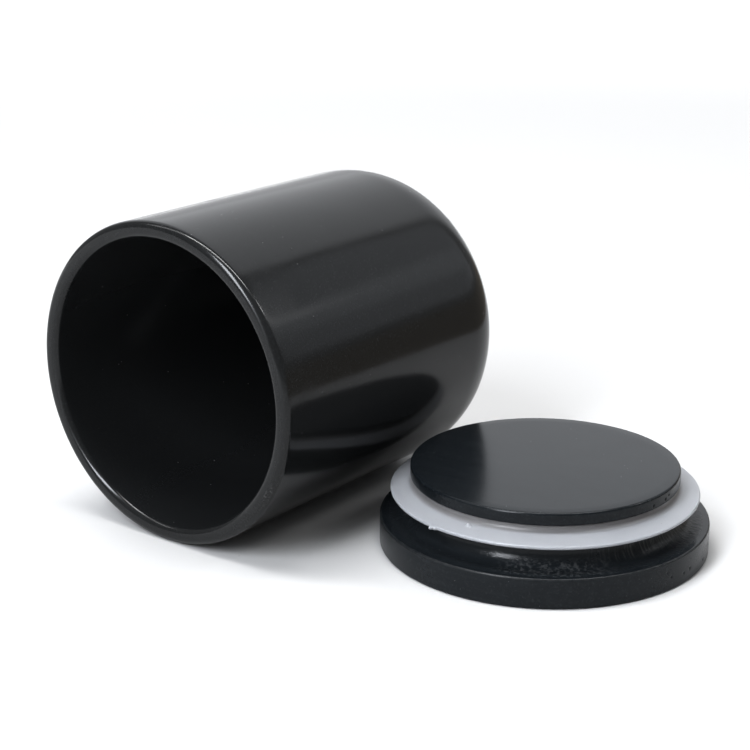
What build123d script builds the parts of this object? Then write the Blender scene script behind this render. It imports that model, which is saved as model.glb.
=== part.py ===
from build123d import *
import os

# A straight-sided ceramic candle jar with a turned wooden lid and a silicone sealing ring.
# The empty jar lies on its side. The lid lies upside down beside it, with the ring in its groove.
#
# Millimetres, +Z up, and the floor is the plane Z = 0. The jar's axis runs along Y, with the
# mouth towards -Y. The origin is on the floor, under the middle of the box that holds the set.

# ---- Driving dimensions: jar ----
JAR_RADIUS = 40.0
JAR_LENGTH = 90.0
WALL = 4.3
BASE_THICKNESS = 5.5
BASE_CORNER_RADIUS = 13.0
CAVITY_CORNER_RADIUS = 9.0
RIM_EDGE_RADIUS = 1.8
FOOT_RECESS_RADIUS = 22.0
FOOT_RECESS_DEPTH = 0.6
FOOT_EDGE_RADIUS = 0.5

# ---- Driving dimensions: lid, measured up from its outer face, which is on the floor ----
FLANGE_RADIUS = 40.0
FLANGE_HEIGHT = 7.5
FLANGE_OUTER_EDGE = 0.6
FLANGE_INNER_EDGE = 0.35
PLUG_RADIUS = 32.6
COVE_RADIUS = 3.7
GROOVE_BOTTOM = 13.2
GROOVE_TOP = 17.3
GROOVE_ROOT_RADIUS = 29.6
LID_HEIGHT = 20.3
PLUG_EDGE = 0.4

# ---- Driving dimensions: sealing ring ----
RING_RADIAL_PLAY = 0.06
RING_AXIAL_PLAY = 0.15
RING_HEEL_RADIUS = 31.9
RING_OUTER_RADIUS = 37.4
FIN_ROOT_BOTTOM = 14.4
FIN_ROOT_TOP = 15.7
FIN_TIP_BOTTOM = 13.65
FIN_TIP_TOP = 14.65

# ---- Driving dimensions: where the lid lies, from the jar's axis and from its mouth ----
LID_BESIDE_JAR = 72.8
LID_BEHIND_MOUTH = 57.3

# ---- Places that follow from them ----
BORE_RADIUS = JAR_RADIUS - WALL
SET_DEPTH = max(JAR_LENGTH, LID_BEHIND_MOUTH + FLANGE_RADIUS)
MOUTH_Y = -SET_DEPTH / 2
JAR_X = -LID_BESIDE_JAR / 2
LID_X = LID_BESIDE_JAR / 2
LID_Y = MOUTH_Y + LID_BEHIND_MOUTH


def turned(outline_edges, axis):
    """The solid that a closed outline sweeps in a full turn about an axis."""
    return revolve(make_face(Wire(outline_edges)), axis)


def straight_edges(points):
    """Straight edges from each point of a list, given as radius and height, to the next."""
    places = [(radius, 0, height) for radius, height in points]
    return [Line(start, end) for start, end in zip(places, places[1:])]


def make_jar():
    """One thick wall that turns into the base with a round corner, and a rounded rim.

    The outline is drawn with X as the radius and Y as the distance from the rim's plane.
    """
    rim = RIM_EDGE_RADIUS
    corner_start = JAR_LENGTH - BASE_CORNER_RADIUS
    cavity_end = JAR_LENGTH - BASE_THICKNESS
    cavity_corner_start = cavity_end - CAVITY_CORNER_RADIUS
    foot_floor = JAR_LENGTH - FOOT_RECESS_DEPTH
    outer_rim = CenterArc((JAR_RADIUS - rim, rim), rim, -90, 90)
    inner_rim = CenterArc((BORE_RADIUS + rim, rim), rim, 180, 90)
    outer_corner = CenterArc(
        (JAR_RADIUS - BASE_CORNER_RADIUS, corner_start), BASE_CORNER_RADIUS, 0, 90)
    cavity_corner = CenterArc(
        (BORE_RADIUS - CAVITY_CORNER_RADIUS, cavity_corner_start), CAVITY_CORNER_RADIUS, 0, 90)
    outline = [
        cavity_corner,
        Line((BORE_RADIUS, cavity_corner_start), (BORE_RADIUS, rim)),
        inner_rim,
        Line((BORE_RADIUS + rim, 0), (JAR_RADIUS - rim, 0)),
        outer_rim,
        Line((JAR_RADIUS, rim), (JAR_RADIUS, corner_start)),
        outer_corner,
        Line((JAR_RADIUS - BASE_CORNER_RADIUS, JAR_LENGTH), (FOOT_RECESS_RADIUS, JAR_LENGTH)),
        Line((FOOT_RECESS_RADIUS, JAR_LENGTH), (FOOT_RECESS_RADIUS - FOOT_EDGE_RADIUS, foot_floor)),
        Line((FOOT_RECESS_RADIUS - FOOT_EDGE_RADIUS, foot_floor), (0, foot_floor)),
        Line((0, foot_floor), (0, cavity_end)),
        Line((0, cavity_end), (BORE_RADIUS - CAVITY_CORNER_RADIUS, cavity_end)),
    ]
    return Pos(JAR_X, MOUTH_Y, JAR_RADIUS) * turned(outline, Axis.Y)


def make_lid():
    """Flange, cove, neck, groove and plug disc, all turned from one piece of wood.

    The outline is drawn in the XZ plane with X as the radius.
    """
    cove_centre_radius = PLUG_RADIUS + COVE_RADIUS
    points = [
        (0, 0),
        (FLANGE_RADIUS - FLANGE_OUTER_EDGE, 0),
        (FLANGE_RADIUS, FLANGE_OUTER_EDGE),
        (FLANGE_RADIUS, FLANGE_HEIGHT - FLANGE_INNER_EDGE),
        (FLANGE_RADIUS - FLANGE_INNER_EDGE, FLANGE_HEIGHT),
        (cove_centre_radius, FLANGE_HEIGHT),
    ]
    upper_points = [
        (PLUG_RADIUS, FLANGE_HEIGHT + COVE_RADIUS),
        (PLUG_RADIUS, GROOVE_BOTTOM),
        (GROOVE_ROOT_RADIUS, GROOVE_BOTTOM),
        (GROOVE_ROOT_RADIUS, GROOVE_TOP),
        (PLUG_RADIUS, GROOVE_TOP),
        (PLUG_RADIUS, LID_HEIGHT - PLUG_EDGE),
        (PLUG_RADIUS - PLUG_EDGE, LID_HEIGHT),
        (0, LID_HEIGHT),
        (0, 0),
    ]
    section = Plane.XZ
    cove = CenterArc((cove_centre_radius, FLANGE_HEIGHT + COVE_RADIUS), COVE_RADIUS, 180, 90)
    outline = straight_edges(points) + [section * cove] + straight_edges(upper_points)
    return Pos(LID_X, LID_Y, 0) * turned(outline, Axis.Z)


def make_seal_ring():
    """A heel that sits in the lid's groove, and a thin fin that slopes down towards the flange."""
    heel_bore = GROOVE_ROOT_RADIUS + RING_RADIAL_PLAY
    heel_bottom = GROOVE_BOTTOM + RING_AXIAL_PLAY
    heel_top = GROOVE_TOP - RING_AXIAL_PLAY
    points = [
        (heel_bore, heel_bottom),
        (RING_HEEL_RADIUS, heel_bottom),
        (RING_HEEL_RADIUS, FIN_ROOT_BOTTOM),
        (RING_OUTER_RADIUS, FIN_TIP_BOTTOM),
        (RING_OUTER_RADIUS, FIN_TIP_TOP),
        (RING_HEEL_RADIUS, FIN_ROOT_TOP),
        (RING_HEEL_RADIUS, heel_top),
        (heel_bore, heel_top),
        (heel_bore, heel_bottom),
    ]
    return Pos(LID_X, LID_Y, 0) * turned(straight_edges(points), Axis.Z)


os.makedirs("parts", exist_ok=True)
export_step(make_jar(), "parts/jar.step")
export_step(make_lid(), "parts/lid.step")
export_step(make_seal_ring(), "parts/seal_ring.step")
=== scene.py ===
import bmesh
import bpy
import math
from mathutils import Matrix, Vector, noise


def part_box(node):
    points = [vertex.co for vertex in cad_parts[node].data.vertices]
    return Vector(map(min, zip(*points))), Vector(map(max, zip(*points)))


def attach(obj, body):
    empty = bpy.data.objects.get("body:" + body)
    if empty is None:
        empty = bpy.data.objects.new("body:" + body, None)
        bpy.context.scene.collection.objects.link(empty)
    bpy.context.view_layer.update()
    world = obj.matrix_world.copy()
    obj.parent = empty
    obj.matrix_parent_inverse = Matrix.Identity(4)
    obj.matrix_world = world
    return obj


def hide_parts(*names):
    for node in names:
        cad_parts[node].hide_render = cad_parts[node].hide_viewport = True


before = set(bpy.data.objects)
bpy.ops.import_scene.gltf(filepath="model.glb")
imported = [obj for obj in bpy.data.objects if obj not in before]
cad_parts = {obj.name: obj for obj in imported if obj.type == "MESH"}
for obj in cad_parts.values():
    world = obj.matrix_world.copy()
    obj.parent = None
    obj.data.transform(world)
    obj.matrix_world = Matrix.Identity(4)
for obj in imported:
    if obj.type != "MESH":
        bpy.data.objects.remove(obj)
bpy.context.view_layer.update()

MM = 0.001

# Where the pieces are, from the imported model.
JAR_LOW, JAR_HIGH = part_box("jar")
LID_LOW, LID_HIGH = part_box("lid")
RING_LOW, RING_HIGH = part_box("seal_ring")
JAR_CENTRE = (JAR_LOW + JAR_HIGH) / 2
LID_CENTRE = (LID_LOW + LID_HIGH) / 2
JAR_RADIUS = (JAR_HIGH.x - JAR_LOW.x) / 2
JAR_LENGTH = JAR_HIGH.y - JAR_LOW.y
LID_RADIUS = (LID_HIGH.x - LID_LOW.x) / 2
LID_HEIGHT = LID_HIGH.z - LID_LOW.z
RING_RADIUS = (RING_HIGH.x - RING_LOW.x) / 2


# Where the camera stands and looks, in degrees and metres, and its lens in millimetres.
CAMERA_AZIMUTH = 37.9
CAMERA_PITCH = 18.15
CAMERA_ROLL = -0.1
CAMERA_SIDE = -0.0411
CAMERA_BACK = 0.4182
CAMERA_HEIGHT = 0.1797
CAMERA_LENS = 88.7
SENSOR_WIDTH = 36.0
NEAREST_SEEN = 0.01

# The photograph's tone curve.
EXPOSURE = 0.32
TONE_GAMMA = 0.8


# ---------------------------------------------------------------- mesh helpers

ON_THE_AXIS = 1e-7


def arc(centre, radius, start, end, steps):
    """Points of a circular arc in the outline's plane; angles in degrees."""
    points = []
    for i in range(steps + 1):
        angle = math.radians(start + (end - start) * i / steps)
        points.append((centre[0] + radius * math.cos(angle), centre[1] + radius * math.sin(angle)))
    return points


def soft_corner(centre, across, along, fullness, steps):
    """A quarter of a superellipse. Its curvature comes in gently, as it does on a slip-cast jar."""
    points = []
    for i in range(steps + 1):
        turn = math.radians(90 * i / steps)
        points.append((centre[0] + across * max(math.cos(turn), 0.0) ** (2 / fullness),
                       centre[1] + along * max(math.sin(turn), 0.0) ** (2 / fullness)))
    return points


def line(start, end, steps):
    """Evenly spaced points from start to end, without the two ends."""
    points = []
    for i in range(1, steps):
        share = i / steps
        points.append(tuple(a + (b - a) * share for a, b in zip(start, end)))
    return points


def lathe(name, outline, steps, place, shape, closed=False):
    """A turned skin. outline holds (radius, height) pairs, place turns (radius, angle, height)
    into a point, and shape bends each pair a little, by its angle. A closed outline makes a ring
    without ends on the axis."""
    vertices = []
    rings = []
    for radius, height in outline:
        if radius < ON_THE_AXIS:
            rings.append([len(vertices)])
            vertices.append(place(0.0, 0.0, height))
            continue
        ring = []
        for i in range(steps):
            angle = 2 * math.pi * i / steps
            ring.append(len(vertices))
            bent_radius, bent_height = shape(angle, radius, height)
            vertices.append(place(bent_radius, angle, bent_height))
        rings.append(ring)
    pairs = list(zip(rings, rings[1:]))
    if closed:
        pairs.append((rings[-1], rings[0]))
    faces = []
    for low, high in pairs:
        for i in range(steps):
            j = (i + 1) % steps
            if len(low) == 1:
                faces.append((low[0], high[j], high[i]))
            elif len(high) == 1:
                faces.append((low[i], low[j], high[0]))
            else:
                faces.append((low[i], low[j], high[j], high[i]))
    mesh = bpy.data.meshes.new(name)
    mesh.from_pydata(vertices, [], faces)
    mesh.polygons.foreach_set("use_smooth", [True] * len(mesh.polygons))
    mesh.validate()
    turn_outward(mesh)
    piece = bpy.data.objects.new(name, mesh)
    bpy.context.scene.collection.objects.link(piece)
    return piece


def turn_outward(mesh):
    """Turns every face to point out of the solid."""
    work = bmesh.new()
    work.from_mesh(mesh)
    bmesh.ops.recalc_face_normals(work, faces=work.faces)
    work.to_mesh(mesh)
    work.free()


def wave(angle, height, size, seed):
    """A smooth value from -1 to 1 that changes over about size, on a barrel as wide as the jar."""
    reach = JAR_RADIUS / size
    place = (reach * math.cos(angle), reach * math.sin(angle), height / size + seed)
    return noise.noise(Vector(place))


def smooth_step(value, low, high):
    """0 up to low, 1 from high on, smooth between."""
    share = min(max((value - low) / (high - low), 0.0), 1.0)
    return share * share * (3 - 2 * share)


def bell(distance, width):
    """1 where distance is 0, soon nearly 0 beyond width."""
    return math.exp(-(distance / width) ** 2)


# In every outline below, the last number of a call says in how many steps it is drawn.

# ---------------------------------------------------------------- jar

JAR_STEPS = 384
WALL = 4.3 * MM
BORE_RADIUS = JAR_RADIUS - WALL
BASE_CORNER_ACROSS = 13.6 * MM
BASE_CORNER_ALONG = 15.4 * MM
BASE_CORNER_FULLNESS = 2.38
CAVITY_CORNER = 9.0 * MM
BASE_THICKNESS = 5.5 * MM
RIM_EDGE = 1.8 * MM
FOOT_RADIUS = 22.0 * MM
FOOT_DEPTH = 0.6 * MM
FOOT_EDGE = FOOT_DEPTH / 2

DRAFT = 0.4 * MM
SWELL, SWELL_LENGTH = 0.045 * MM, 26 * MM
RIPPLE, RIPPLE_LENGTH = 0.3 * SWELL, 9 * MM
RIM_DIP, RIM_DIP_LENGTH = 0.07 * MM, 30 * MM
RIM_DIP_REACH = 12 * MM


def jar_outline():
    """From the middle of the cavity's floor, round the rim, to the middle of the foot."""
    length = JAR_LENGTH
    cavity_end = length - BASE_THICKNESS
    foot_floor = length - FOOT_DEPTH
    cavity_corner = (BORE_RADIUS - CAVITY_CORNER, cavity_end - CAVITY_CORNER)
    outer_corner = (JAR_RADIUS - BASE_CORNER_ACROSS, length - BASE_CORNER_ALONG)
    points = [(0.0, cavity_end)]
    points += line((0.0, cavity_end), (cavity_corner[0], cavity_end), 8)
    points += arc(cavity_corner, CAVITY_CORNER, 90, 0, 14)
    points += line((BORE_RADIUS, cavity_corner[1]), (BORE_RADIUS, RIM_EDGE), 30)
    points += arc((BORE_RADIUS + RIM_EDGE, RIM_EDGE), RIM_EDGE, 180, 270, 10)
    points += line((BORE_RADIUS + RIM_EDGE, 0), (JAR_RADIUS - RIM_EDGE, 0), 3)
    points += arc((JAR_RADIUS - RIM_EDGE, RIM_EDGE), RIM_EDGE, -90, 0, 10)
    points += line((JAR_RADIUS, RIM_EDGE), (JAR_RADIUS, outer_corner[1]), 36)
    points += soft_corner(outer_corner, BASE_CORNER_ACROSS, BASE_CORNER_ALONG,
                          BASE_CORNER_FULLNESS, 36)
    points += line((outer_corner[0], length), (FOOT_RADIUS, length), 4)
    points += arc((FOOT_RADIUS, length - FOOT_EDGE), FOOT_EDGE, 90, 180, 4)
    points += [(FOOT_RADIUS - FOOT_DEPTH, foot_floor)]
    points += line((FOOT_RADIUS - FOOT_DEPTH, foot_floor), (0.0, foot_floor), 6)
    points += [(0.0, foot_floor)]
    return points


def jar_place(radius, angle, distance):
    """The mould's draft makes the jar a little slimmer towards its base, and it lies on its side,
    so its axis sinks by as much. distance is counted from the rim."""
    draft = DRAFT * distance / JAR_LENGTH
    radius *= 1 - draft / JAR_RADIUS
    return Vector((
        JAR_CENTRE.x + radius * math.cos(angle),
        JAR_LOW.y + distance,
        JAR_CENTRE.z - draft + radius * math.sin(angle)))


def jar_shape(angle, radius, distance):
    """Casting and glazing leave long low swells in the wall and a rim that isn't quite flat."""
    share = radius / JAR_RADIUS
    radius += SWELL * share * wave(angle, distance, SWELL_LENGTH, seed=3.0)
    radius += RIPPLE * share * wave(angle, distance, RIPPLE_LENGTH, seed=40.0)
    near_rim = 1 - smooth_step(distance, 0.0, RIM_DIP_REACH)
    distance += RIM_DIP * near_rim * wave(angle, 0.0, RIM_DIP_LENGTH, seed=7.0)
    return radius, distance


def make_jar():
    jar = lathe("jar_body", jar_outline(), JAR_STEPS, jar_place, jar_shape)
    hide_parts("jar")
    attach(jar, "jar")
    jar.data.materials.append(glaze())


# ---------------------------------------------------------------- lid

LID_STEPS = 768
FLANGE_HEIGHT = 7.5 * MM
FLANGE_EDGE = 0.45 * MM
OUTER_EDGE = 0.6 * MM
PLUG_RADIUS = 32.6 * MM
COVE_RADIUS = 3.7 * MM
GROOVE_BOTTOM = 13.2 * MM
GROOVE_TOP = 17.3 * MM
GROOVE_ROOT = 29.6 * MM
GROOVE_EDGE = 0.3 * MM

# The wood's fibres run this way across the lid, so both ends of that line show end grain.
GRAIN_ANGLE = math.radians(8.0)
# Where the turning tool tore the grain.
TORN_ANGLE = math.radians(-52.0)

# Pores that the paint didn't fill, on the end grain: degrees from the grain's line, height and
# radius in mm.
FLANGE_PORES = [
    (-7, 3.1, 0.5), (-11, 2.8, 0.34), (-18, 3.4, 0.34),
    (-20, 4.9, 0.3), (5, 2.1, 0.4), (11, 4.2, 0.34)]
PLUG_PORES = [
    (-15, 18.3, 0.36), (-6, 18.4, 0.42), (-3, 18.9, 0.3), (20, 18.2, 0.42), (27, 18.8, 0.3)]
PORE_DEPTH = 0.24 * MM
PORE_BOTTOM = 0.35          # the flat part of a pore, as a share of its radius
PORES_END = 0.5 * MM        # no pores nearer to the plug's face than this

SIDE_DEPTH = 0.02 * MM      # a point this close under a side belongs to the side
SIDE_SWELL, SIDE_SWELL_LENGTH = 0.05 * MM, 14 * MM
FACE_SWELL, FACE_SWELL_LENGTH = 0.04 * MM, 22 * MM
FLAT_UP_TO = 1 * MM         # the face that the lid lies on stays flat


def lid_outline():
    """From the middle of the outer face, which lies on the floor, to the middle of the plug."""
    cove = (PLUG_RADIUS + COVE_RADIUS, FLANGE_HEIGHT + COVE_RADIUS)
    points = [(0.0, 0.0)]
    points += line((0.0, 0.0), (LID_RADIUS - OUTER_EDGE, 0.0), 10)
    points += arc((LID_RADIUS - OUTER_EDGE, OUTER_EDGE), OUTER_EDGE, -90, 0, 6)
    points += line((LID_RADIUS, OUTER_EDGE), (LID_RADIUS, FLANGE_HEIGHT - FLANGE_EDGE), 26)
    points += arc((LID_RADIUS - FLANGE_EDGE, FLANGE_HEIGHT - FLANGE_EDGE), FLANGE_EDGE, 0, 90, 6)
    points += line((LID_RADIUS - FLANGE_EDGE, FLANGE_HEIGHT), (cove[0], FLANGE_HEIGHT), 6)
    points += arc(cove, COVE_RADIUS, 270, 180, 14)
    points += line((PLUG_RADIUS, cove[1]), (PLUG_RADIUS, GROOVE_BOTTOM - GROOVE_EDGE), 3)
    points += arc((PLUG_RADIUS - GROOVE_EDGE, GROOVE_BOTTOM - GROOVE_EDGE), GROOVE_EDGE, 0, 90, 3)
    points += line((PLUG_RADIUS - GROOVE_EDGE, GROOVE_BOTTOM), (GROOVE_ROOT, GROOVE_BOTTOM), 3)
    points += [(GROOVE_ROOT, GROOVE_BOTTOM)]
    points += line((GROOVE_ROOT, GROOVE_BOTTOM), (GROOVE_ROOT, GROOVE_TOP), 4)
    points += [(GROOVE_ROOT, GROOVE_TOP)]
    points += line((GROOVE_ROOT, GROOVE_TOP), (PLUG_RADIUS - GROOVE_EDGE, GROOVE_TOP), 3)
    points += arc((PLUG_RADIUS - GROOVE_EDGE, GROOVE_TOP + GROOVE_EDGE), GROOVE_EDGE, -90, 0, 3)
    points += line((PLUG_RADIUS, GROOVE_TOP + GROOVE_EDGE),
                   (PLUG_RADIUS, LID_HEIGHT - OUTER_EDGE), 12)
    points += arc((PLUG_RADIUS - OUTER_EDGE, LID_HEIGHT - OUTER_EDGE), OUTER_EDGE, 0, 90, 6)
    points += line((PLUG_RADIUS - OUTER_EDGE, LID_HEIGHT), (0.0, LID_HEIGHT), 12)
    points += [(0.0, LID_HEIGHT)]
    return points


def lid_place(radius, angle, height):
    return Vector((
        LID_CENTRE.x + radius * math.cos(angle),
        LID_CENTRE.y + radius * math.sin(angle),
        LID_LOW.z + height))


def pore_depth(angle, height, pores, barrel):
    """How deep the pores dent a side of radius barrel. Each pore is at both ends of the grain."""
    depth = 0.0
    for turn, pore_height, size in pores:
        for end in (0.0, math.pi):
            off = angle - GRAIN_ANGLE - end - math.radians(turn)
            across = math.remainder(off, 2 * math.pi) * barrel
            away = math.hypot(across, height - pore_height * MM) / (size * MM)
            depth += PORE_DEPTH * (1 - smooth_step(away, PORE_BOTTOM, 1.0))
    return depth


def lid_shape(angle, radius, height):
    """Hand sanding leaves the edges a little uneven, and open pores dent the end grain."""
    share = radius / LID_RADIUS
    on_flange_side = radius > LID_RADIUS - SIDE_DEPTH
    on_plug_side = (radius > PLUG_RADIUS - SIDE_DEPTH
                    and GROOVE_TOP < height < LID_HEIGHT - PORES_END)
    if on_flange_side:
        radius -= pore_depth(angle, height, FLANGE_PORES, LID_RADIUS)
    elif on_plug_side:
        radius -= pore_depth(angle, height, PLUG_PORES, PLUG_RADIUS)
    radius += SIDE_SWELL * share * wave(angle, height, SIDE_SWELL_LENGTH, seed=11.0)
    if height > FLAT_UP_TO:
        height += FACE_SWELL * share * wave(angle, radius, FACE_SWELL_LENGTH, seed=23.0)
    return radius, height


def make_lid():
    lid = lathe("lid_body", lid_outline(), LID_STEPS, lid_place, lid_shape)
    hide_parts("lid")
    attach(lid, "lid")
    lid.data.materials.append(paint())


# ---------------------------------------------------------------- sealing ring

RING_STEPS = 1152
HEEL_RADIUS = 31.9 * MM
HEEL_GAP_INSIDE = 0.06 * MM     # between the ring's bore and the groove's root
HEEL_GAP_BESIDE = 0.15 * MM     # between the heel and the groove's two sides
LIP_EDGE = 0.48 * MM            # half the lip's thickness at its edge
LIP_EDGE_HEIGHT = 14.15 * MM
LIP_UNDERSIDE = 14.4 * MM       # where the lip's lower face leaves the heel
LIP_UPPER_FACE = 14.2 * MM      # the outline's upper face is above this
ROOT_FILLET = 1.25 * MM
ROOT_HEIGHT = 15.45 * MM

SAG = 0.3 * MM
SAG_ANGLE = math.radians(CAMERA_AZIMUTH - 90)
LIP_WAVE, LIP_WAVE_LENGTH = 0.09 * MM, 21 * MM
EDGE_WAVE, EDGE_WAVE_LENGTH = 0.05 * MM, 12 * MM

NUB_ANGLE = math.radians(-88.0)
NUB_RADIUS = 33.9 * MM
NUB_HEIGHT = 0.75 * MM
NUB_SIZE_ROUND, NUB_SIZE_OUT = 0.55 * MM, 0.34 * MM

# The gate's torn stub is two humps side by side on the lip's edge: the share of STUB_LENGTH that
# each stands out, where it is along the edge, and how wide it is.
GATE_ANGLE = math.radians(-100.5)
STUB_LENGTH = 1.3 * MM
STUB_ROOT = 0.9 * MM
STUB_HUMPS = [(0.9, 0.0, 0.55 * MM), (0.5, 1.0 * MM, 0.3 * MM)]


def ring_outline():
    bore = GROOVE_ROOT + HEEL_GAP_INSIDE
    low = GROOVE_BOTTOM + HEEL_GAP_BESIDE
    high = GROOVE_TOP - HEEL_GAP_BESIDE
    edge = RING_RADIUS - LIP_EDGE
    root = (HEEL_RADIUS + ROOT_FILLET, ROOT_HEIGHT + ROOT_FILLET)
    points = [(bore, low), (HEEL_RADIUS, low)]
    points += line((HEEL_RADIUS, low), (HEEL_RADIUS, LIP_UNDERSIDE), 3)
    points += [(HEEL_RADIUS, LIP_UNDERSIDE)]
    points += line((HEEL_RADIUS, LIP_UNDERSIDE), (edge, LIP_EDGE_HEIGHT - LIP_EDGE), 6)
    points += arc((edge, LIP_EDGE_HEIGHT), LIP_EDGE, -90, 90, 10)
    points += line((edge, LIP_EDGE_HEIGHT + LIP_EDGE), (root[0], ROOT_HEIGHT), 20)
    points += arc(root, ROOT_FILLET, 270, 180, 10)
    points += [(HEEL_RADIUS, high), (bore, high)]
    return points


def ring_shape(angle, radius, height):
    """The soft lip sags on one side and waves a little. The mould left the torn stub of its gate
    on the lip's edge, and a small nub on the lip's upper face."""
    lip = smooth_step(radius, HEEL_RADIUS, RING_RADIUS)
    upper = height > LIP_UPPER_FACE
    height -= SAG * lip * (1 + math.cos(angle - SAG_ANGLE)) / 2
    height += LIP_WAVE * lip * wave(angle, 0.0, LIP_WAVE_LENGTH, seed=5.0)
    if upper:
        along = math.remainder(angle - NUB_ANGLE, 2 * math.pi) * NUB_RADIUS
        height += NUB_HEIGHT * bell(along, NUB_SIZE_ROUND) * bell(radius - NUB_RADIUS, NUB_SIZE_OUT)
    radius += EDGE_WAVE * lip * wave(angle, 0.0, EDGE_WAVE_LENGTH, seed=31.0)
    along = math.remainder(angle - GATE_ANGLE, 2 * math.pi) * RING_RADIUS
    stub = sum(share * bell(along - place, width) for share, place, width in STUB_HUMPS)
    radius += STUB_LENGTH * stub * smooth_step(radius, RING_RADIUS - STUB_ROOT, RING_RADIUS)
    return radius, height


def make_seal_ring():
    ring = lathe("seal_ring_body", ring_outline(), RING_STEPS, lid_place, ring_shape, closed=True)
    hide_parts("seal_ring")
    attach(ring, "seal_ring")
    ring.data.materials.append(silicone())


# ---------------------------------------------------------------- materials

DOT_CORE = 0.4              # the part of a dot that is at full strength, as a share of its radius


class Surface:
    """One material, built call by call. Every call returns the output socket it made. Lengths
    inside a material are in metres, as they are on the piece, and angles in radians."""

    def __init__(self, name):
        self.material = bpy.data.materials.new(name)
        self.material.use_nodes = True
        self.tree = self.material.node_tree
        self.shader = self.tree.nodes["Principled BSDF"]
        place = self.tree.nodes.new("ShaderNodeTexCoord")
        self.place = place.outputs["Object"]
        self.facing = place.outputs["Normal"]

    def feed(self, socket, value):
        if isinstance(value, bpy.types.NodeSocket):
            self.tree.links.new(value, socket)
        else:
            socket.default_value = value

    def node(self, kind, inputs, **settings):
        node = self.tree.nodes.new("ShaderNode" + kind)
        for name, value in settings.items():
            setattr(node, name, value)
        for name, value in inputs.items():
            self.feed(node.inputs[name], value)
        return node

    def add(self, kind, inputs, output=0, **settings):
        return self.node(kind, inputs, **settings).outputs[output]

    def math(self, operation, *values):
        return self.add("Math", dict(enumerate(values)), operation=operation)

    def total(self, *values):
        result = values[0]
        for value in values[1:]:
            result = self.math("ADD", result, value)
        return result

    def times(self, *values):
        result = values[0]
        for value in values[1:]:
            result = self.math("MULTIPLY", result, value)
        return result

    def parts(self, vector):
        return tuple(self.node("SeparateXYZ", {0: vector}).outputs)

    def joined(self, x, y, z):
        return self.add("CombineXYZ", {0: x, 1: y, 2: z})

    def from_axis(self, x, y):
        """How far (x, y) is from the axis."""
        return self.math("SQRT", self.total(self.times(x, x), self.times(y, y)))

    def toward(self, x, y, angle):
        """How far (x, y) lies in the direction of angle."""
        return self.total(self.times(x, math.cos(angle)), self.times(y, math.sin(angle)))

    def rise(self, value, low, high):
        """0 where value is at low, 1 at high, smooth between; low may be the larger."""
        inputs = {"Value": value, "From Min": low, "From Max": high}
        return self.add("MapRange", inputs, interpolation_type="SMOOTHSTEP")

    def cloud(self, size, detail=2.0, roughness=0.5, vector=None):
        """Soft noise, 0 to 1, whose lumps are about size across."""
        return self.add("TexNoise", {
            "Vector": vector or self.place, "Scale": 0.5 / size,
            "Detail": detail, "Roughness": roughness})

    def dots(self, spacing, radius, share, vector=None):
        """Small round dots, 1 inside; share of the cells hold one, each with its own strength."""
        cells = self.node("TexVoronoi", {"Vector": vector or self.place, "Scale": 1 / spacing})
        edge = radius / spacing
        inside = self.rise(cells.outputs["Distance"], edge, DOT_CORE * edge)
        chance = self.parts(cells.outputs["Color"])[0]
        return self.times(inside, self.rise(chance, 1 - share, 1.0))

    def blend(self, first, second, share):
        return self.add("Mix", {0: share, 6: first, 7: second}, output=2, data_type="RGBA")

    def layers(self, colour, *coats):
        """Lays coats over a colour one after the other, each as its colour and its share."""
        for coat, share in coats:
            colour = self.blend(colour, coat, share)
        return colour

    def finish(self, colour, roughness, height, **fixed):
        """height is in millimetres. fixed names sockets that are the same all over."""
        inputs = self.shader.inputs
        bump = self.add("Bump", {"Height": height, "Distance": MM, "Strength": 1.0})
        self.feed(inputs["Base Color"], colour)
        self.feed(inputs["Roughness"], roughness)
        self.feed(inputs["Normal"], bump)
        for name, value in fixed.items():
            inputs[name.replace("_", " ")].default_value = value
        return self.material


def grey(value, blue=1.0):
    """A neutral colour, or with blue above 1 a slightly cold one, with less red and more blue."""
    return (value / blue ** 0.65, value, value * blue ** 0.5, 1.0)


GLAZE_BLUE = 1.1
GLAZE_IOR = 1.45
SCUFF_ANGLE = math.radians(-31)
SCUFF_HALF_WIDTH = math.radians(6)
SCUFF_FULL_WIDTH = math.radians(1)
SCUFF_RADIUS = 38.1 * MM
FOOT_RING_INSIDE = 22.3 * MM
FOOT_RING_OUTSIDE = 26.9 * MM
CLAY_DARK = (0.045, 0.038, 0.032, 1)
CLAY_LIGHT = (0.1, 0.085, 0.07, 1)


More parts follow.
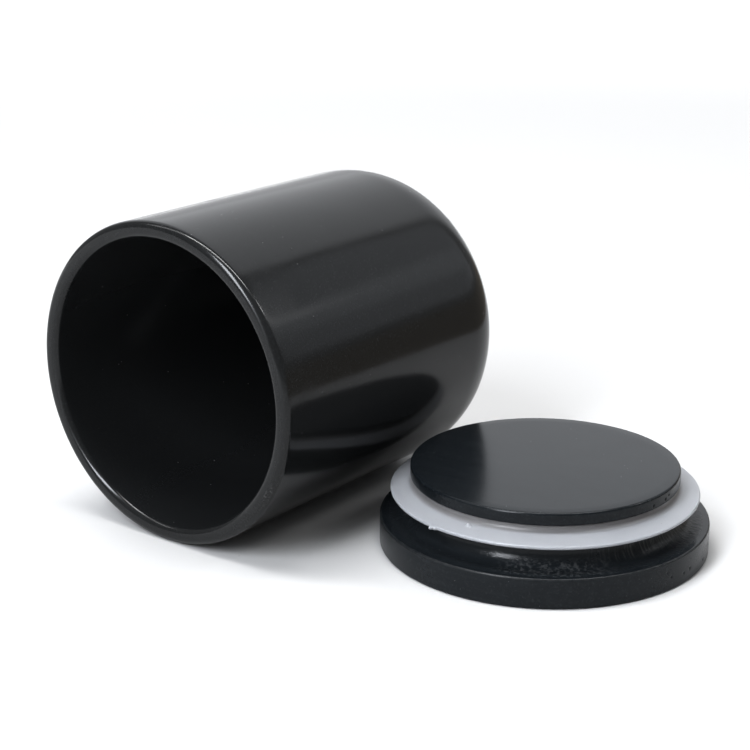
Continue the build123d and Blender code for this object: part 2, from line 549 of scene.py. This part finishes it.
def glaze():
    """Black glaze over dark stoneware: glossy, faintly rippled, with pinholes, dust and scuffs."""
    s = Surface("black_glaze")
    x, y, z = s.parts(s.place)
    across = s.math("SUBTRACT", x, JAR_CENTRE.x)
    up = s.math("SUBTRACT", z, JAR_CENTRE.z)
    radius = s.from_axis(across, up)
    pooling = s.cloud(9 * MM, detail=3.0)
    smudge = s.rise(s.cloud(16 * MM, detail=4.0, roughness=0.6), 0.54, 0.7)
    dust = s.dots(spacing=1.7 * MM, radius=0.21 * MM, share=0.11)
    grain = s.cloud(0.25 * MM)
    pinholes = s.dots(spacing=2.1 * MM, radius=0.3 * MM, share=0.25)

    # Scuffs where the rim was rubbed, low on the side towards the lid.
    toward = s.math("DIVIDE", s.toward(across, up, SCUFF_ANGLE), radius)
    rubbed = s.rise(toward, math.cos(SCUFF_HALF_WIDTH), math.cos(SCUFF_FULL_WIDTH))
    outer = s.times(s.rise(radius, SCUFF_RADIUS, SCUFF_RADIUS + 0.4 * MM),
                    s.rise(y, JAR_LOW.y + 0.9 * MM, JAR_LOW.y + 0.4 * MM))
    flecks = s.rise(s.cloud(0.28 * MM, roughness=0.6), 0.52, 0.72)
    scuff = s.times(rubbed, outer, flecks)

    # The rim's flat top is a little rougher all the way round.
    rim_top = s.rise(y, JAR_LOW.y + 1.4 * MM, JAR_LOW.y + 0.5 * MM)

    # The foot ring stands on the kiln shelf, so it is wiped clean of glaze.
    ragged = s.total(radius, s.times(s.cloud(2.5 * MM, detail=3.0), 1.2 * MM))
    foot = s.times(s.rise(ragged, FOOT_RING_INSIDE, FOOT_RING_INSIDE + 0.4 * MM),
                   s.rise(ragged, FOOT_RING_OUTSIDE, FOOT_RING_OUTSIDE - 0.6 * MM))
    foot = s.times(foot, s.rise(y, JAR_HIGH.y - 0.5 * MM, JAR_HIGH.y - 0.25 * MM))
    clay_grain = s.cloud(0.35 * MM, detail=4.0, roughness=0.7)

    # Painted light: the inside of the jar is made a little paler, lifting its dark interior.
    inside = s.times(s.rise(radius, BORE_RADIUS + 0.2 * MM, BORE_RADIUS - 0.2 * MM),
                     s.rise(y, JAR_HIGH.y - 4 * MM, JAR_HIGH.y - 5 * MM))

    colour = s.layers(
        s.blend(grey(0.0110, GLAZE_BLUE), grey(0.0160, GLAZE_BLUE), pooling),
        (grey(0.035, GLAZE_BLUE), s.times(inside, 0.6)),
        (grey(0.03, GLAZE_BLUE), s.times(s.rise(grain, 0.5, 0.85), 0.7)),
        (grey(0.2), s.times(dust, 0.8)),
        (grey(0.11), s.times(scuff, 0.7)),
        (s.blend(CLAY_DARK, CLAY_LIGHT, clay_grain), foot))
    # How rough the clean glaze is, and what each flaw adds.
    rough = s.total(
        0.115, s.times(pooling, 0.06), s.times(smudge, 0.07), s.times(dust, 0.3),
        s.times(scuff, 0.2), s.times(foot, 0.55), s.times(rim_top, 0.03))
    peel = s.times(s.cloud(1.6 * MM), 0.0035)
    swell = s.times(s.cloud(7 * MM, detail=1.0), 0.02)
    height = s.total(
        peel, swell, s.times(dust, 0.05), s.times(pinholes, -0.04), s.times(scuff, 0.02),
        s.times(foot, s.total(s.times(clay_grain, 0.06), -0.12)))
    return s.finish(colour, rough, height, IOR=GLAZE_IOR)


# How blue the paint is where it is whole, where it is thin or painted paler as light in the cove,
# and where wood, dust or painted highlights show.
PAINT_BLUE = 1.5
THIN_AND_LIT_BLUE = 1.3
BARE_BLUE = 1.05
PAINT_IOR = 1.36
CHATTER_ROUND = 60.0        # how finely the chatter's ridges follow each other round the lid
CHATTER_ALONG = 420.0       # how fast they change along their length, per metre


def paint():
    """Blue-black satin paint on turned wood. The fibres show faintly along the faces, the end
    grain is open, and the turning tool's chatter is left in the cove."""
    s = Surface("painted_wood")
    flange_top = LID_LOW.z + FLANGE_HEIGHT
    lid_top = LID_LOW.z + LID_HEIGHT
    cove_top = flange_top + COVE_RADIUS + 1 * MM
    x, y, z = s.parts(s.place)
    x = s.math("SUBTRACT", x, LID_CENTRE.x)
    y = s.math("SUBTRACT", y, LID_CENTRE.y)
    radius = s.from_axis(x, y)
    along = s.toward(x, y, GRAIN_ANGLE)
    beside = s.toward(x, y, GRAIN_ANGLE + math.pi / 2)
    upright = s.rise(s.math("ABSOLUTE", s.parts(s.facing)[2]), 0.9, 0.4)
    across_end = s.math("ABSOLUTE", s.math("DIVIDE", along, radius))
    end_grain = s.rise(across_end, 0.6, 0.97)

    stretched = s.joined(s.times(along, 0.05), beside, z)
    fibres = s.cloud(0.55 * MM, detail=3.0, roughness=0.6, vector=stretched)
    bands = s.cloud(3.0 * MM, vector=stretched)
    grain = s.cloud(0.3 * MM)
    speckle = s.cloud(0.55 * MM, roughness=0.7)
    dust = s.dots(spacing=1.6 * MM, radius=0.14 * MM, share=0.16)
    top = s.rise(z, lid_top - 0.5 * MM, lid_top - 0.15 * MM)
    pore_places = s.joined(s.times(along, 0.4), beside, z)
    pores = s.dots(spacing=0.8 * MM, radius=0.2 * MM, share=0.2, vector=pore_places)
    pores_and_painted_shade = s.times(pores, end_grain, s.math("SUBTRACT", 1.0, top))

    # Chatter: fine ridges that run out from the centre, only in the cove and beside it.
    around = s.joined(s.times(s.math("DIVIDE", x, radius), CHATTER_ROUND),
                      s.times(s.math("DIVIDE", y, radius), CHATTER_ROUND),
                      s.times(s.total(z, radius), CHATTER_ALONG))
    chatter = s.cloud(0.5, roughness=0.6, vector=around)
    cove = s.times(s.rise(z, flange_top - 0.5 * MM, flange_top - 0.3 * MM),
                   s.rise(z, cove_top, cove_top - 1 * MM),
                   s.rise(radius, LID_RADIUS - 0.5 * MM, LID_RADIUS - 3 * MM))
    wall = s.rise(z, flange_top + 0.2 * MM, flange_top + 1.2 * MM)
    ridges = s.times(s.rise(chatter, 0.48, 0.66), cove, wall, end_grain)

    # Torn grain: a rough patch low in the cove, at its front. Its pale flecks are partly bare wood
    # and partly a painted glint beside the cove's highlight.
    patch = s.rise(s.math("DIVIDE", s.toward(x, y, TORN_ANGLE), radius), 0.9, 0.985)
    torn = s.times(patch, cove, s.rise(z, flange_top + 2.4 * MM, flange_top + 0.6 * MM))

    # The paint is thin and rubbed along the flange's upper edge, and that edge is also painted
    # paler as a highlight.
    wear_and_edge_highlight = s.times(s.rise(radius, LID_RADIUS - 0.7 * MM, LID_RADIUS - 0.3 * MM),
                   s.rise(z, flange_top - 0.6 * MM, flange_top - 0.25 * MM),
                   s.rise(s.cloud(1.2 * MM, detail=4.0), 0.1, 0.6))

    colour = s.layers(
        s.blend(grey(0.0095, PAINT_BLUE), grey(0.0135, PAINT_BLUE), bands),
        (grey(0.024, THIN_AND_LIT_BLUE), s.rise(grain, 0.5, 0.8)),
        (grey(0.034, 1.25), s.times(s.rise(fibres, 0.42, 0.72), 0.18)),
        # Painted light: the cove is paler, standing in for the light it reflects.
        (grey(0.026, THIN_AND_LIT_BLUE), s.times(cove, 0.7)),
        # The chatter's ridges are paler: partly bare wood, partly painted highlights on the ridges.
        (grey(0.075, BARE_BLUE), s.times(ridges, 0.9)),
        # Pale flecks at the front of the cove: partly torn bare wood, partly a painted glint.
        (grey(0.12, BARE_BLUE), s.times(torn, s.rise(speckle, 0.44, 0.68), 0.55)),
        # The flange's upper edge: partly worn paint, partly a painted highlight along the edge.
        (grey(0.034, 1.1), s.times(wear_and_edge_highlight, 0.6)),
        # Dark pores: painted shade in the pits.
        (grey(0.004), s.times(pores_and_painted_shade, 0.9)),
        (grey(0.2, BARE_BLUE), s.times(dust, 0.55)))
    # How rough the whole paint is, and what the wood and the flaws add.
    rough = s.total(
        0.13, s.times(fibres, 0.08), s.times(bands, 0.03), s.times(pores_and_painted_shade, 0.3),
        s.times(dust, 0.3), s.times(wear_and_edge_highlight, 0.08), s.times(upright, 0.05), s.times(cove, -0.01),
        s.times(end_grain, cove, 0.17), s.times(torn, 0.12))
    flat = s.math("SUBTRACT", 1.0, s.times(upright, 0.75))
    height = s.total(
        s.times(fibres, flat, 0.005), s.times(bands, 0.001), s.times(grain, 0.006),
        s.times(dust, 0.03), s.times(pores_and_painted_shade, -0.02), s.times(speckle, cove, 0.06),
        s.times(chatter, cove, s.total(0.01, s.times(end_grain, wall, 0.08))),
        s.times(speckle, s.total(torn, s.times(end_grain, cove)), 0.1))
    return s.finish(colour, rough, height, IOR=PAINT_IOR)


# Near the groove the ring is darkened: partly the dark wood showing through, partly painted shade
# under the plug's overhang.
BACKED_AND_SHADED_TO = 32.0 * MM       # within this radius the heel and the groove are right behind the lip
CLEAR_FROM = 33.4 * MM
SILICONE_DARK = (0.295, 0.305, 0.325, 1)
SILICONE_LIGHT = (0.33, 0.338, 0.354, 1)
GROOVE_AND_SHADE_COLOUR = (0.15, 0.142, 0.138, 1)
SCATTER_REACH = (2 * MM, 2 * MM, 2.1 * MM)


def silicone():
    """Milky silicone that lets some light through. Near the groove it is darker: partly the dark
    wood showing through, partly painted shade under the plug's overhang.
    """
    s = Surface("milky_silicone")
    x, y, z = s.parts(s.place)
    x = s.math("SUBTRACT", x, LID_CENTRE.x)
    y = s.math("SUBTRACT", y, LID_CENTRE.y)
    groove_and_painted_shade = s.rise(s.from_axis(x, y), CLEAR_FROM, BACKED_AND_SHADED_TO)
    haze = s.cloud(5 * MM, detail=3.0)
    dust = s.dots(spacing=1.7 * MM, radius=0.2 * MM, share=0.25)
    colour = s.layers(
        s.blend(SILICONE_DARK, SILICONE_LIGHT, haze),
        (GROOVE_AND_SHADE_COLOUR, s.times(groove_and_painted_shade, 0.7)),
        (grey(0.1), s.times(dust, 0.3)))
    rough = s.total(0.32, s.times(haze, 0.1), s.times(dust, 0.2))
    height = s.total(
        s.times(s.cloud(0.4 * MM, detail=3.0), 0.006),
        s.times(s.cloud(4 * MM, detail=1.0), 0.03), s.times(dust, 0.03))
    return s.finish(colour, rough, height, Subsurface_Weight=0.5,
                    Subsurface_Radius=SCATTER_REACH, Subsurface_Scale=1.0)


# ---------------------------------------------------------------- stage, lights and camera

FLOOR_RADIUS = 1.6
FLOOR_STEPS = 128
FLOOR_GREY_MIDDLE, FLOOR_GREY_EDGE = 0.575, 0.93
FLOOR_PALER_FROM = 0.5
FLOOR_GLOW, FLOOR_GLOW_FROM = 0.45, 0.6
DOME_RADIUS = 9.0
BEYOND_WIDTH = 12.0
BEYOND_BELOW = 1 * MM
WORLD_STRENGTH = 0.3

BACK_TINT = (0.97, 0.99, 1.03)
RIGHT_TINT = (0.95, 1.0, 1.08)
RIGHT_LOW_TINT = (0.95, 1.0, 1.06)
FRONT_TINT = (0.97, 1.0, 1.05)
BEYOND_COLOUR = (0.82, 0.83, 0.84)
CARD_COLOUR = (0.29, 0.26, 0.22)


def glowing(name, colour):
    s = Surface(name)
    s.shader.inputs["Base Color"].default_value = (0, 0, 0, 1)
    s.shader.inputs["Roughness"].default_value = 1.0
    s.shader.inputs["Emission Color"].default_value = (*colour, 1)
    s.shader.inputs["Emission Strength"].default_value = 1.0
    return s.material


def pale_sheet():
    """Paler towards the edge, and faintly glowing there, because the lights reach it less."""
    s = Surface("pale_sheet")
    x, y, z = s.parts(s.place)
    radius = s.from_axis(x, y)
    specks = s.dots(spacing=4 * MM, radius=0.3 * MM, share=0.1)
    fibres = s.cloud(0.6 * MM, detail=3.0)
    paler = s.rise(radius, FLOOR_PALER_FROM, FLOOR_RADIUS)
    glow = s.times(s.rise(radius, FLOOR_GLOW_FROM, FLOOR_RADIUS), FLOOR_GLOW)
    colour = s.layers(
        s.blend(grey(FLOOR_GREY_MIDDLE), grey(FLOOR_GREY_EDGE), paler),
        (grey(0.3), s.times(specks, 0.4)))
    s.feed(s.shader.inputs["Emission Color"], (1, 1, 1, 1))
    s.feed(s.shader.inputs["Emission Strength"], glow)
    rough = s.total(0.65, s.times(fibres, 0.1))
    return s.finish(colour, rough, s.times(fibres, 0.02), Specular_IOR_Level=0.2)


def make_floor():
    bpy.ops.mesh.primitive_circle_add(vertices=FLOOR_STEPS, radius=FLOOR_RADIUS, fill_type="NGON")
    floor = bpy.context.active_object
    floor.name = "floor"
    floor.data.materials.append(pale_sheet())


def make_backdrop():
    """White beyond the floor for the camera, and for reflections more floor than it sees."""
    bpy.ops.mesh.primitive_uv_sphere_add(segments=48, ring_count=24, radius=DOME_RADIUS)
    dome = bpy.context.active_object
    dome.name = "backdrop"
    dome.data.materials.append(glowing("backdrop", (1, 1, 1)))
    for way in ("diffuse", "glossy", "transmission", "shadow"):
        setattr(dome, "visible_" + way, False)
    bpy.ops.mesh.primitive_plane_add(size=BEYOND_WIDTH, location=(0, 0, -BEYOND_BELOW))
    beyond = bpy.context.active_object
    beyond.name = "floor_beyond"
    beyond.data.materials.append(glowing("pale_sheet_beyond", BEYOND_COLOUR))
    beyond.visible_camera = False


def studio_place(azimuth, elevation, distance):
    """A place round the object. Azimuth is counted to the left from the way the camera looks."""
    turn = math.radians(CAMERA_AZIMUTH + 90 + azimuth)
    rise = math.radians(elevation)
    level = distance * math.cos(rise)
    return Vector((level * math.cos(turn), level * math.sin(turn), distance * math.sin(rise)))


def soft_light(name, azimuth, elevation, distance, size, brightness, colour=(1, 1, 1), roll=0.0,
               glossy=True, diffuse=True):
    """A rectangular softbox that faces the object and that the camera doesn't see. Brightness is
    that of its face, where 1 is as bright as the floor is meant to be. Without glossy it isn't
    reflected, and without diffuse it is only reflected."""
    data = bpy.data.lights.new(name, "AREA")
    data.shape = "RECTANGLE"
    data.size, data.size_y = size
    data.energy = brightness * math.pi * size[0] * size[1]
    data.color = colour
    light = bpy.data.objects.new(name, data)
    place = studio_place(azimuth, elevation, distance)
    aim = (-place).to_track_quat("-Z", "Y").to_matrix().to_4x4()
    tilt = Matrix.Rotation(math.radians(roll), 4, "Z")
    light.matrix_world = Matrix.Translation(place) @ aim @ tilt
    light.visible_camera = False
    light.visible_glossy = glossy
    light.visible_diffuse = diffuse
    bpy.context.scene.collection.objects.link(light)


def dark_card(name, azimuth, distance, size, colour):
    """An upright card on the floor that only reflections see: the end of the pale surface."""
    bpy.ops.mesh.primitive_plane_add(size=1.0)
    card = bpy.context.active_object
    card.name = name
    card.scale = (size[0], size[1], 1)
    place = studio_place(azimuth, 0, distance)
    place.z = size[1] / 2
    card.location = place
    card.rotation_euler = (math.radians(90), 0, math.radians(CAMERA_AZIMUTH + azimuth))
    card.data.materials.append(glowing(name, colour))
    card.visible_camera = False
    card.visible_diffuse = False
    card.visible_shadow = False


def make_world(strength):
    world = bpy.data.worlds.new("studio")
    bpy.context.scene.world = world
    world.use_nodes = True
    background = world.node_tree.nodes["Background"]
    background.inputs["Color"].default_value = (1, 1, 1, 1)
    background.inputs["Strength"].default_value = strength


def make_lights():
    """Each light: name, azimuth and elevation in degrees, distance and size in metres, brightness
    and tint."""
    make_world(WORLD_STRENGTH)
    soft_light("back_panel_wide", -0.5, 28, 3.1, (4.3, 3.9), 0.48, BACK_TINT)
    soft_light("back_panel_narrow", -0.5, 37, 3.2, (3.9, 3.0), 0.28, BACK_TINT)
    soft_light("right_panel", -68, 26, 2.6, (1.5, 1.6), 0.36, RIGHT_TINT)
    soft_light("right_panel_low", -75, 24.5, 2.5, (1.2, 0.42), 0.2, RIGHT_LOW_TINT)
    soft_light("right_softbox", -84, 42, 3.0, (0.3, 0.5), 14.0)
    soft_light("right_strip", -79.5, 35, 2.9, (0.2, 1.0), 1.6, roll=27.0)
    soft_light("strip_behind_camera", 143, 40, 1.0, (0.24, 0.6), 16.0, FRONT_TINT)
    soft_light("strip_behind_camera_low", 143, 16, 1.0, (0.19, 0.3), 2.5, FRONT_TINT)
    soft_light("front_fill", 143, 31, 1.0, (0.5, 0.7), 0.5, FRONT_TINT, glossy=False)
    soft_light("overhead_strip", 84, 85, 3.0, (0.39, 2.3), 17.0)
    soft_light("overhead_strip_right", -96, 67, 3.0, (0.39, 0.74), 17.0, diffuse=False)
    soft_light("left_fill", 84, 74, 3.0, (1.2, 1.2), 3.0, glossy=False)
    soft_light("overhead_strip_end", 84, 50, 3.0, (0.39, 1.6), 4.0)
    dark_card("dark_card", -78, 0.24, (0.6, 0.07), CARD_COLOUR)


def make_camera():
    """The camera looks along its azimuth; its place is given from the lid's centre, in its own
    directions: to the right, back from the lid, and up from the floor."""
    azimuth = math.radians(CAMERA_AZIMUTH)
    right = Vector((math.cos(azimuth), math.sin(azimuth), 0))
    ahead = Vector((-math.sin(azimuth), math.cos(azimuth), 0))
    place = Vector((LID_CENTRE.x, LID_CENTRE.y, 0)) + right * CAMERA_SIDE - ahead * CAMERA_BACK
    place.z = CAMERA_HEIGHT
    data = bpy.data.cameras.new("camera")
    data.lens = CAMERA_LENS
    data.sensor_width = SENSOR_WIDTH
    data.clip_start = NEAREST_SEEN
    camera = bpy.data.objects.new("camera", data)
    turn = Matrix.Rotation(azimuth, 4, "Z")
    pitch = Matrix.Rotation(math.radians(90 - CAMERA_PITCH), 4, "X")
    roll = Matrix.Rotation(math.radians(CAMERA_ROLL), 4, "Z")
    camera.matrix_world = Matrix.Translation(place) @ turn @ pitch @ roll
    bpy.context.scene.collection.objects.link(camera)
    bpy.context.scene.camera = camera


def set_tones():
    view = bpy.context.scene.view_settings
    view.view_transform = "Standard"
    view.exposure = EXPOSURE
    view.gamma = TONE_GAMMA


set_tones()
make_camera()
make_floor()
make_backdrop()
make_lights()
make_jar()
make_lid()
make_seal_ring()
